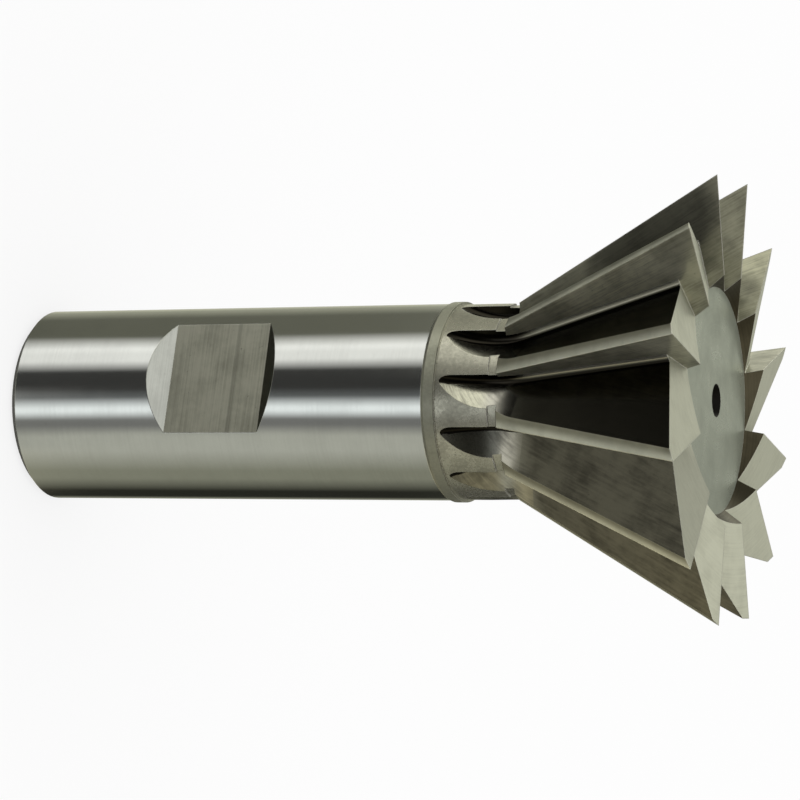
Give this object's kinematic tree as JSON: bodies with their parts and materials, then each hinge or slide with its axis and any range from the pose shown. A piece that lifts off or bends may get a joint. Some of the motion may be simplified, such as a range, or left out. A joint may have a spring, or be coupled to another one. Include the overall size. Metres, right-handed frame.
{
  "type": "dovetail cutter",
  "caption": "Dovetail milling cutter with a conical head of straight teeth, a short neck and a round shank with a drive flat, for cutting the sloping sides of dovetail ways.",
  "frame": {"origin": "centre of the shank's flat end face, on which the cutter stands", "axes": "+Z along the tool's axis towards the teeth, -Y out of the drive flat"},
  "size_m": [0.057, 0.057, 0.0952],
  "materials": {
    "steel": "ground, satin"
  },
  "bodies": {
    "root": {"cutter": "steel"}
  },
  "joints": []
}
